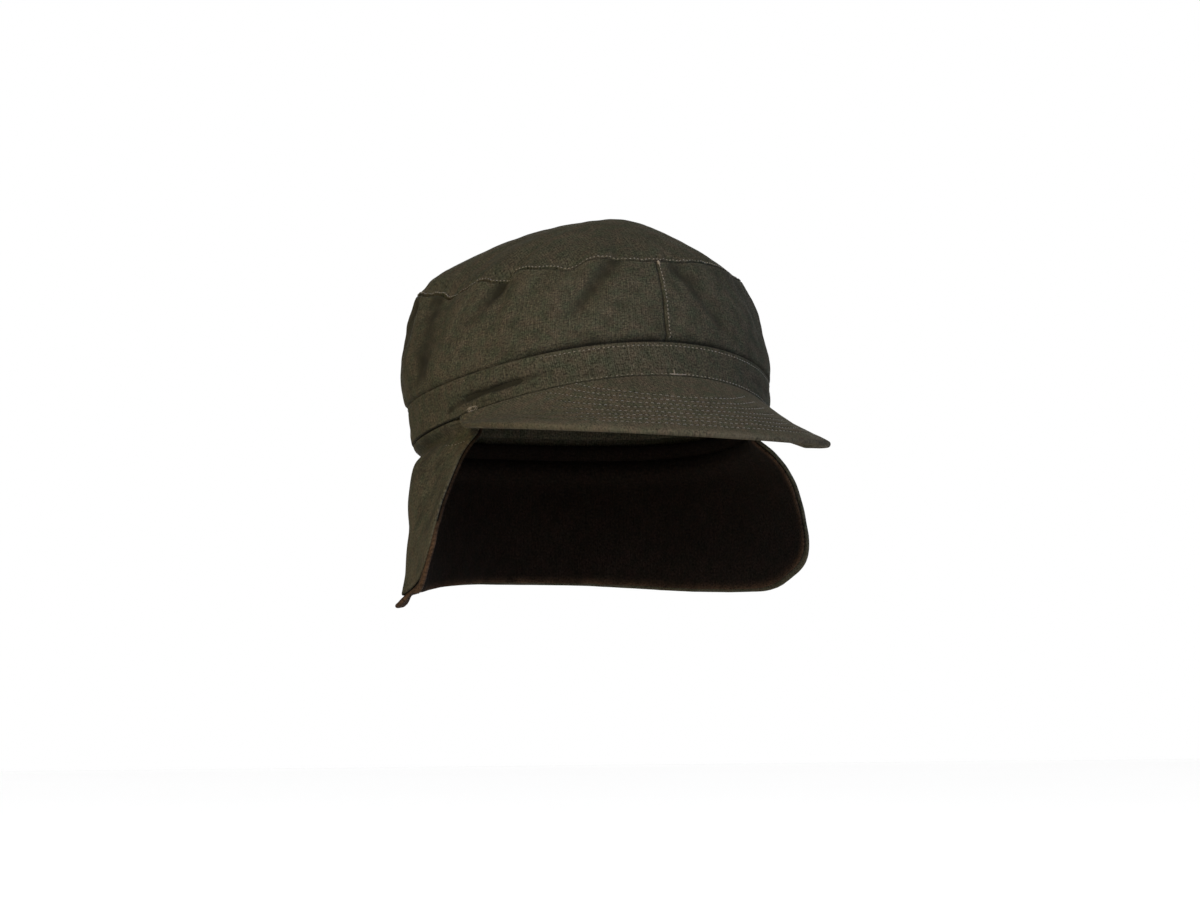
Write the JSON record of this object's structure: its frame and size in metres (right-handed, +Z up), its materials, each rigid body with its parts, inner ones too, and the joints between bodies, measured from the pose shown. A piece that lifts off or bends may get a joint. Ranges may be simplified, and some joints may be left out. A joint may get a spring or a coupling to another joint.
{
  "type": "field cap with ear and neck flaps",
  "caption": "Soft cloth field cap in worn form: domed crown on a band, stitched stiff peak and lined flaps that hang over the ears and neck",
  "frame": {"origin": "the middle of the head opening, at the level of the rim's middle, where a head holds the cap", "axes": "+Z up, -Y to the front where the peak is, +X to the wearer's left"},
  "size_m": [0.1997, 0.277, 0.1863],
  "materials": {
    "shell_cloth": "matt olive drab cotton twill, washed and slightly mottled",
    "peak_cloth": "the same olive drab cotton over a stiffener, with close rows of stitching",
    "lining_cloth": "matt dark brown brushed lining"
  },
  "bodies": {
    "root": {"crown_top": "shell_cloth", "crown_side_left": "shell_cloth", "crown_side_right": "shell_cloth", "band": "shell_cloth", "peak": "peak_cloth", "flap": "shell_cloth", "flap_lining": "lining_cloth"}
  },
  "joints": []
}
